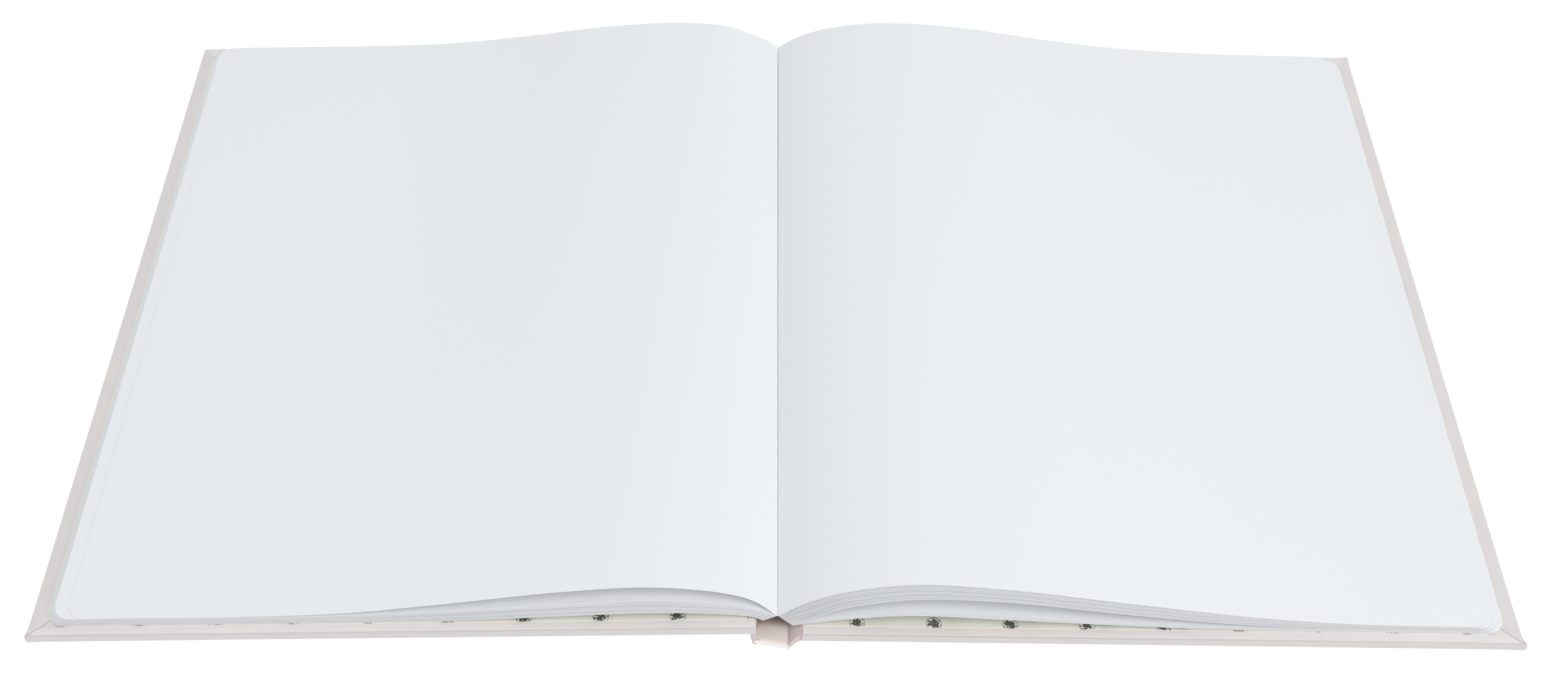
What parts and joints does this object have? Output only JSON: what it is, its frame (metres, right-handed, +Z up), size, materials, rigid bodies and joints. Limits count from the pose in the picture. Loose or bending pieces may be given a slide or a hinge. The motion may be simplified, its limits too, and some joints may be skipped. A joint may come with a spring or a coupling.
{
  "type": "open book",
  "caption": "Hardcover book lying open at its middle, with blank rounded-corner pages, paper-covered boards that close over the block, and patterned endpapers.",
  "frame": {"origin": "on the table under the gutter, at mid-height of the page", "axes": "+X across the book towards the back cover's fore-edge, +Y from tail to head, +Z up"},
  "size_m": [0.4449, 0.2862, 0.0223],
  "materials": {
    "board": "grey-brown binder's board, matt",
    "cover_paper": "pale pinkish grey covering paper, matt with a soft sheen",
    "endpaper": "cream-green paper printed with rows of small grey roundels of leaves",
    "page_paper": "smooth cool white uncoated paper"
  },
  "bodies": {
    "spine": {"spine_board": "board", "spine_cover_paper": "cover_paper"},
    "front_cover": {"front_board": "board", "front_cover_paper": "cover_paper", "front_pastedown": "endpaper"},
    "front_leaves": {"front_pages": "page_paper", "front_flyleaf": "endpaper"},
    "back_cover": {"back_board": "board", "back_cover_paper": "cover_paper", "back_pastedown": "endpaper"},
    "back_leaves": {"back_pages": "page_paper", "back_flyleaf": "endpaper"}
  },
  "joints": [
    {"name": "front_cover_hinge", "type": "hinge", "parent": "spine", "child": "front_cover", "pos_m": [-0.00576, 0, 0.00676], "axis": [0, 1, 0], "range_deg": [0, 91.48]},
    {"name": "back_cover_hinge", "type": "hinge", "parent": "spine", "child": "back_cover", "pos_m": [0.00282, 0, 0.00382], "axis": [0, -1, 0], "range_deg": [0, 90.66]},
    {"name": "front_leaves_hinge", "type": "hinge", "parent": "spine", "child": "front_leaves", "pos_m": [-0.00462, 0, 0.00792], "axis": [0, 1, 0], "range_deg": [0, 91.48], "deforming": ["front_pages", "front_flyleaf"]},
    {"name": "back_leaves_hinge", "type": "hinge", "parent": "spine", "child": "back_leaves", "pos_m": [0.00168, 0, 0.00498], "axis": [0, -1, 0], "range_deg": [0, 90.66], "deforming": ["back_pages", "back_flyleaf"]}
  ],
  "couplings": [
    {"joint": "front_leaves_hinge", "follows": "front_cover_hinge", "ratio": 1},
    {"joint": "back_leaves_hinge", "follows": "back_cover_hinge", "ratio": 1}
  ]
}
